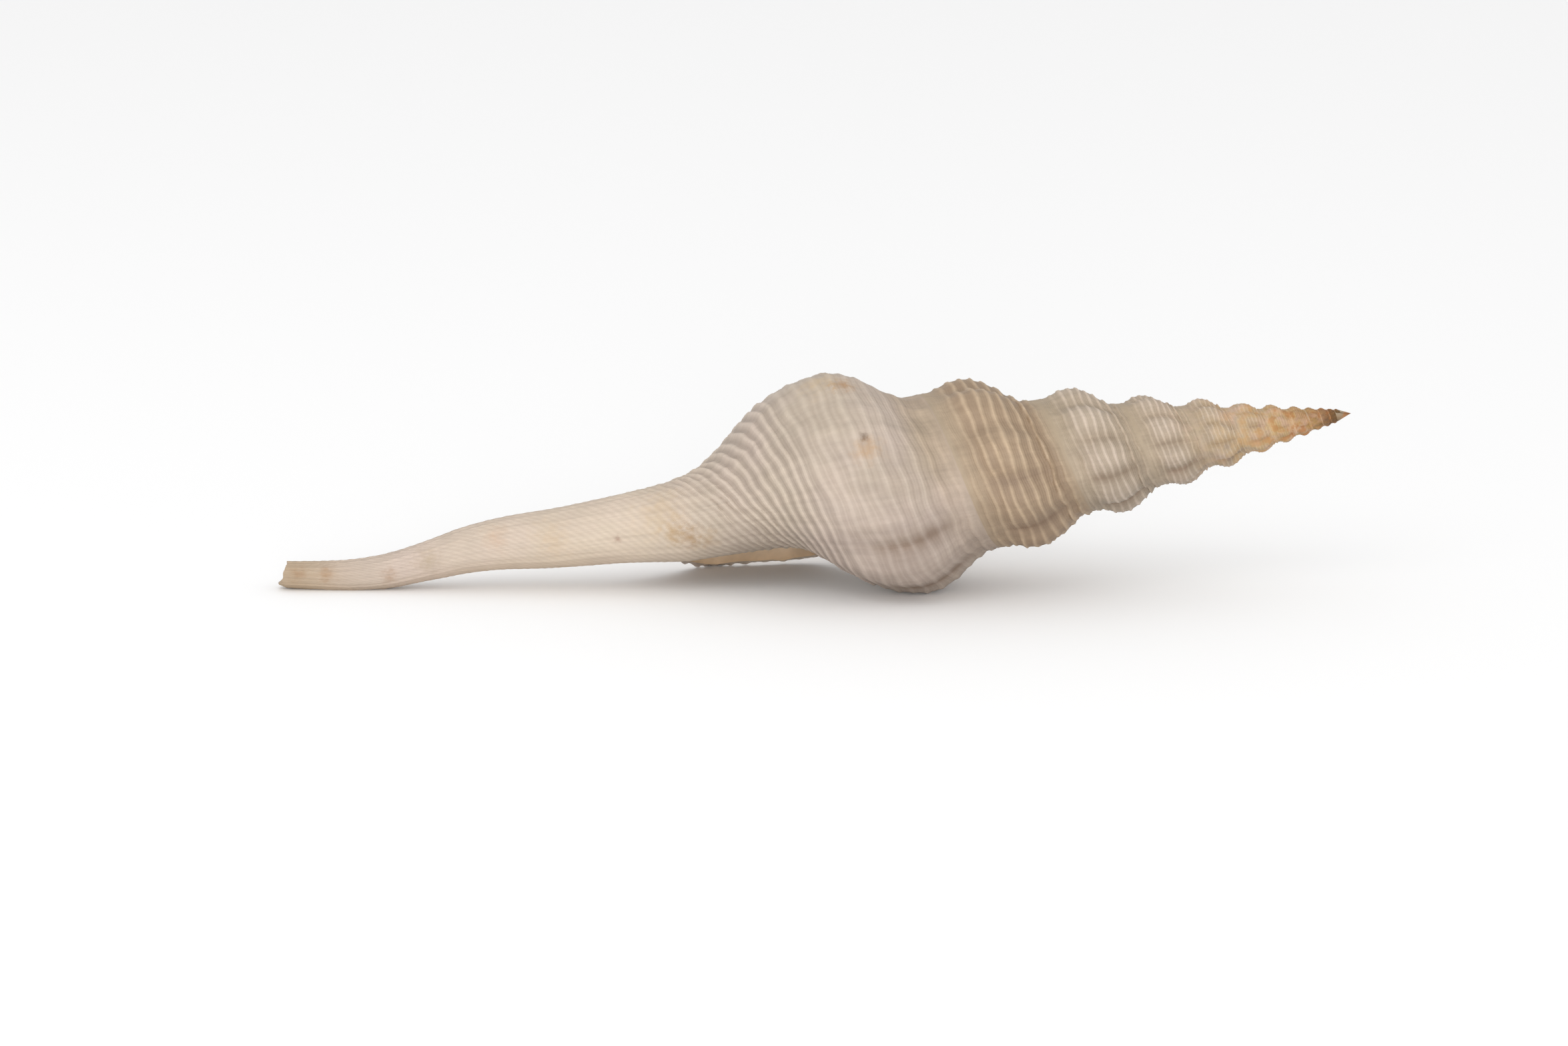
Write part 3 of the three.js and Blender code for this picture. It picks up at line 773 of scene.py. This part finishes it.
def soft_noise(tree, place, scale, detail=3.0):
    """Rough noise from 0 to 1 at a place."""
    made = wired(tree, "ShaderNodeTexNoise", place, noise_dimensions="3D")
    made.inputs["Detail"].default_value = detail
    made.inputs["Roughness"].default_value = 0.6
    if isinstance(scale, bpy.types.NodeSocket):
        tree.links.new(scale, made.inputs["Scale"])
    else:
        made.inputs["Scale"].default_value = scale
    return made.outputs["Fac"]


# Growth streaks: noise drawn out along the lip's edge, so that it runs down the whorl in lines.
STREAK_SLOWNESS = 0.11

streaks, given, taken = effect("growth_streaks", ["Turn", "Station", "Streaks a turn"], "Streak")
place = wired(
    streaks, "ShaderNodeCombineXYZ",
    product(streaks, given["Turn"], given["Streaks a turn"]),
    product(streaks, given["Station"], STREAK_SLOWNESS),
).outputs[0]
streaks.links.new(soft_noise(streaks, place, 1.0), taken["Streak"])

# Mottling: soft clouds of noise over the object, pushed apart by a contrast.
mottling, given, taken = effect("mottling", ["Clouds a metre", "Contrast"], "Mottle")
where = wired(mottling, "ShaderNodeTexCoord").outputs["Object"]
clouds = soft_noise(mottling, where, given["Clouds a metre"], 4.0)
centred = maths(mottling, "SUBTRACT", clouds, 0.5)
pushed = maths(mottling, "MULTIPLY_ADD", centred, given["Contrast"], 0.5)
mottling.links.new(wired(mottling, "ShaderNodeClamp", pushed).outputs[0], taken["Mottle"])

# A stain: 1 near a place on the object and 0 past its radius, with a ragged edge from noise.
STAIN_RAGGEDNESS = 2.0
STAIN_CORE = -0.4

staining, given, taken = effect("stain", ["X", "Y", "Z", "Radius"], "Stain")
where = wired(staining, "ShaderNodeTexCoord").outputs["Object"]
in_mm = wired(staining, "ShaderNodeVectorMath", where, operation="SCALE")
in_mm.inputs["Scale"].default_value = 1 / MM
centre = wired(staining, "ShaderNodeCombineXYZ", given["X"], given["Y"], given["Z"]).outputs[0]
between = wired(staining, "ShaderNodeVectorMath", in_mm.outputs[0], centre, operation="DISTANCE")
ragged = maths(staining, "SUBTRACT", soft_noise(staining, in_mm.outputs[0], 0.9, 5.0), 0.5)
ragged = product(staining, ragged, given["Radius"])
away = maths(staining, "MULTIPLY_ADD", ragged, STAIN_RAGGEDNESS, between.outputs["Value"])
inner = product(staining, given["Radius"], STAIN_CORE)
staining.links.new(eased(staining, away, given["Radius"], inner), taken["Stain"])


def placed(tree, group, **values):
    """A node group with its inputs set, underscores standing for spaces."""
    made = wired(tree, "ShaderNodeGroup", node_tree=group)
    for label, value in values.items():
        socket = made.inputs[label.replace("_", " ")]
        if isinstance(value, bpy.types.NodeSocket):
            tree.links.new(value, socket)
        else:
            socket.default_value = value
    return made.outputs[0]


def streak(tree, per_turn):
    """Growth streaks at this spot, so many to a turn."""
    at_turn, at_station = grown(tree, "turn"), grown(tree, "station")
    return placed(tree, streaks, Turn=at_turn, Station=at_station, Streaks_a_turn=per_turn)


def mottle(tree, clouds, contrast):
    """Mottling at this spot, so many clouds to a metre."""
    return placed(tree, mottling, Clouds_a_metre=clouds, Contrast=contrast)


def raised(tree, value, rise, start):
    """A number times a rise, and a start added to it."""
    return maths(tree, "MULTIPLY_ADD", value, rise, start)


weathered, tree, surface = paint("weathered_ivory")
turn, station, along = grown(tree, "turn"), grown(tree, "station"), grown(tree, "along")
furrow, age = grown(tree, "furrow"), grown(tree, "age")

# Cords: crests and threads of the same form as in the mesh, as a share of the crest's colour.
# They are worn off in cloudy patches of the last turn, and fade by the sutures.
PLAIN_SHARE = 0.35
cord_wave = maths(tree, "COSINE", product(tree, grown(tree, "cord"), 2 * np.pi))
base = product(tree, eased(tree, station, 85.0, 92.0), eased(tree, turn, 1.0, 0.97))
sharpness = raised(tree, base, -1.5, 2.6)
crest = maths(tree, "POWER", raised(tree, cord_wave, -0.5, 0.5), sharpness)
thread = maths(tree, "POWER", raised(tree, cord_wave, 0.5, 0.5), 9.0)
threaded = raised(tree, eased(tree, turn, 1.9, 2.4), 0.3, eased(tree, turn, 1.3, 0.9))
thread = product(tree, thread, threaded, eased(tree, station, 92.0, 86.0), 0.5)
on_last_whorl = (eased(tree, turn, 1.2, 0.8), eased(tree, station, 93.0, 85.0))
faded = product(tree, mottle(tree, 70.0, 3.0), *on_last_whorl)
fine_streak, broad_streak = streak(tree, 90.0), streak(tree, 22.0)
patch = mottle(tree, 90.0, 2.6)

share = maths(tree, "ADD", crest, thread)
# Painted shade: in the furrows the crests give way to the trough colour.
share = product(tree, share, raised(tree, furrow, -0.7, 1.0))
share = product(tree, share, raised(tree, faded, -0.4, 1.0))
share = raised(tree, faded, 0.2, share)
share = blended_number(tree, grown(tree, "smooth"), share, PLAIN_SHARE)
share = blended_number(tree, grown(tree, "suture"), share, PLAIN_SHARE)
share = raised(tree, maths(tree, "SUBTRACT", broad_streak, 0.5), 1.5, share)
share = raised(tree, maths(tree, "SUBTRACT", patch, 0.5), 0.35, share)
share = wired(tree, "ShaderNodeClamp", share).outputs[0]
on_canal = eased(tree, along, 86.0, 104.0)
crest_colour = blended(tree, on_canal, colour_by_turn(tree, age, CREST_COLOURS), CANAL_CREST)
trough_colour = blended(tree, on_canal, colour_by_turn(tree, age, TROUGH_COLOURS), CANAL_TROUGH)
colour = blended(tree, share, trough_colour, crest_colour)

# Sutures and knobs: olive where two whorls meet, and pale on the crests of the ribs, partly
# their own colour and partly a painted highlight where light would catch the knobs.
by_suture = product(tree, eased(tree, station, 73.5, 68.5), eased(tree, turn, 1.15, 0.95), 0.95)
by_suture = maths(tree, "MAXIMUM", by_suture, product(tree, grown(tree, "suture"), 0.8))
low_side = eased(tree, grown(tree, "underside"), -0.3, 0.6)
by_suture = product(tree, by_suture, raised(tree, low_side, -0.6, 1.0))
olive = dimmed(tree, OLIVE_COLOUR, raised(tree, share, 0.4, 0.86))
colour = blended(tree, by_suture, colour, olive)
on_earlier, below_spire = eased(tree, turn, 0.9, 1.0), eased(tree, age, 5.0, 3.0)
olive_foot = product(tree, grown(tree, "smooth"), on_earlier, below_spire)
colour = blended(tree, product(tree, olive_foot, 0.85), colour, OLIVE_COLOUR)
# Partly painted highlight: the crests of the upper ribs paler, as if lit from above.
pale_knob_and_highlight = product(tree, grown(tree, "knob"), eased(tree, age, 5.6, 4.0))
pale_knob_and_highlight = product(tree, pale_knob_and_highlight, raised(tree, crest, 0.45, 0.25))
colour = blended(tree, pale_knob_and_highlight, colour, KNOB_AND_HIGHLIGHT_COLOUR)

# Tone over the whole: streaks and small clouds, grey troughs on the base, a pink or a warm tint,
# and painted shade on the side where the shell lies.
colour = dimmed(tree, colour, raised(tree, fine_streak, 0.34, 0.83))
colour = dimmed(tree, colour, raised(tree, mottle(tree, 260.0, 2.0), 0.14, 0.93))
# Partly painted shade: on the base the troughs are darker and the crests a little lighter.
grey = product(tree, base, eased(tree, station, 106.0, 98.0), raised(tree, crest, -0.20, 0.14))
colour = dimmed(tree, colour, maths(tree, "SUBTRACT", 1.0, grey))
on_last_turn = raised(tree, eased(tree, turn, 1.1, 0.9), 0.75, 0.25)
pink = product(tree, mottle(tree, 45.0, 4.0), on_last_turn)
tint = blended(tree, pink, WARM_TINT, PINK_TINT)
colour = blended(tree, 1.0, colour, tint, "MULTIPLY")
# Painted shade: up to 19 per cent darker on the side that the shell lies on, away from the canal.
lain_on = eased(tree, grown(tree, "underside"), 0.2, 0.95)
lain_on = product(tree, lain_on, eased(tree, along, 96.0, 84.0), 0.19)
colour = dimmed(tree, colour, maths(tree, "SUBTRACT", 1.0, lain_on))

# Painted shade: brown in the furrows between ribs, darkest in the deepest and least on the cords.
furrow_shade = product(tree, furrow, raised(tree, crest, -0.5, 1.0))
furrow_shade = product(tree, furrow_shade, raised(tree, mottle(tree, 190.0, 3.0), 0.7, 0.15))
colour = blended(tree, furrow_shade, colour, FURROW_SHADE_COLOUR)
# Deeper painted shade in the deepest furrows.
deep = maths(tree, "POWER", furrow, 2.0)
deep = product(tree, deep, raised(tree, crest, -0.6, 1.0))
deep = product(tree, deep, raised(tree, mottle(tree, 130.0, 3.0), 0.5, 0.4))
colour = blended(tree, deep, colour, DEEP_FURROW_SHADE_COLOUR)

# Stains: ochre, pink and rust patches up the spire, a browner canal below and at its end, and
# the single stains at their places.
on_spire = eased(tree, age, 10.5, 8.0)
ochre = product(tree, mottle(tree, 620.0, 4.5), eased(tree, age, 3.4, 6.6), on_spire, 0.75)
colour = blended(tree, ochre, colour, OCHRE_COLOUR)
rosy = product(tree, mottle(tree, 540.0, 7.0), mottle(tree, 130.0, 5.0), eased(tree, age, 3.0, 5.4))
rosy = product(tree, rosy, on_spire, 0.4)
colour = blended(tree, rosy, colour, ROSY_COLOUR)
rust = maths(tree, "SUBTRACT", mottle(tree, 620.0, 6.0), 0.45)
rust = product(tree, rust, 1.5, eased(tree, age, 4.0, 7.5))
rust = wired(tree, "ShaderNodeClamp", rust).outputs[0]
colour = blended(tree, rust, colour, RUST_COLOUR)
low_canal = product(tree, eased(tree, along, 96.0, 112.0), eased(tree, turn, 0.62, 0.8), 0.35)
colour = blended(tree, low_canal, colour, TIP_COLOUR)
colour = blended(tree, product(tree, eased(tree, along, 138.0, 150.0), 0.75), colour, TIP_COLOUR)
for x, y, z, radius, strength, stain_colour in STAINS:
    stain = placed(tree, staining, X=x, Y=y, Z=z, Radius=radius)
    colour = blended(tree, product(tree, stain, strength), colour, stain_colour)
tree.links.new(colour, surface.inputs["Base Color"])

# Fine relief: hair lines between the cords, growth streaks and a chalky grain, but none across
# the suture.
HAIR_LINES_A_CORD = 5
tree.links.new(raised(tree, patch, 0.16, 0.5), surface.inputs["Roughness"])
hair_lines = maths(tree, "SINE", product(tree, grown(tree, "cord"), 2 * np.pi * HAIR_LINES_A_CORD))
height = raised(tree, hair_lines, 0.10, product(tree, fine_streak, 0.55))
height = raised(tree, mottle(tree, 2600.0, 1.5), 0.25, height)
height = product(tree, height, maths(tree, "SUBTRACT", 1.0, grown(tree, "suture")))
bump = wired(tree, "ShaderNodeBump")
bump.inputs["Strength"].default_value = 0.7
bump.inputs["Distance"].default_value = 0.17 * MM
tree.links.new(height, bump.inputs["Height"])
tree.links.new(bump.outputs["Normal"], surface.inputs["Normal"])
surface.inputs["Specular IOR Level"].default_value = 0.35
carved.materials[outside_faces] = weathered

# Inside the mouth and the canal the lime is a smooth, slightly mottled glaze, laid on last. It is
# tan at the lip's edge and cream further in, paler than the glaze itself: painted light for the
# strip seen under the body, which lies in shade.
GLAZE_AND_PAINTED_LIGHT_COLOURS = [
    (0.0, (0.60, 0.42, 0.26)), (0.014, (0.93, 0.68, 0.47)), (0.03, (0.98, 0.80, 0.62)),
    (0.4, (0.88, 0.79, 0.68)),
]
glazed, tree, surface = paint("mouth_glaze")
# Painted light: the glaze colours are raised to make up for the shade over the mouth.
colour = colour_by_turn(tree, grown(tree, "turn"), GLAZE_AND_PAINTED_LIGHT_COLOURS)
colour = dimmed(tree, colour, raised(tree, mottle(tree, 220.0, 2.4), 0.35, 0.75))
tree.links.new(colour, surface.inputs["Base Color"])
roughness = raised(tree, mottle(tree, 300.0, 2.0), 0.12, 0.28)
tree.links.new(roughness, surface.inputs["Roughness"])
bump = wired(tree, "ShaderNodeBump")
bump.inputs["Strength"].default_value = 0.25
bump.inputs["Distance"].default_value = 0.08 * MM
tree.links.new(streak(tree, 60.0), bump.inputs["Height"])
tree.links.new(bump.outputs["Normal"], surface.inputs["Normal"])
carved.materials[inside_faces] = glazed


# The floor is a plain pale sheet. The light is a soft white sky with two large soft lamps, one up
# to the left and one low in front.
FLOOR_REACH = 6.0
FLOOR_GREY = 0.95
SKY_STRENGTH = 0.92

floor_mesh = bpy.data.meshes.new("floor")
corners = [(x * FLOOR_REACH, y * FLOOR_REACH, 0.0) for x, y in ((-1, -1), (1, -1), (1, 1), (-1, 1))]
floor_mesh.from_pydata(corners, [], [(0, 1, 2, 3)])
floor = bpy.data.objects.new("floor", floor_mesh)
bpy.context.scene.collection.objects.link(floor)
pale, tree, surface = paint("pale_floor")
surface.inputs["Base Color"].default_value = (FLOOR_GREY, FLOOR_GREY, FLOOR_GREY, 1.0)
surface.inputs["Roughness"].default_value = 0.9
floor_mesh.materials.append(pale)

world = bpy.data.worlds.new("soft_sky")
bpy.context.scene.world = world
world.use_nodes = True
sky = world.node_tree.nodes["Background"]
sky.inputs["Color"].default_value = (1.0, 1.0, 1.0, 1.0)
sky.inputs["Strength"].default_value = SKY_STRENGTH


def soft_lamp(name, place, target, size, watts):
    """A square lamp at a place, turned to face a target, in metres."""
    lamp = bpy.data.objects.new(name, bpy.data.lights.new(name, "AREA"))
    lamp.data.shape = "SQUARE"
    lamp.data.size = size
    lamp.data.energy = watts
    lamp.location = place
    lamp.rotation_euler = (Vector(target) - Vector(place)).to_track_quat("-Z", "Y").to_euler()
    bpy.context.scene.collection.objects.link(lamp)


soft_lamp("key", (-0.55, -0.75, 0.75), (0, 0, 0.015), 0.7, 2.2)
soft_lamp("front_fill", (0.0, -1.2, 0.16), (0, 0, 0.01), 0.4, 6.0)
bpy.context.scene.view_settings.view_transform = "Standard"
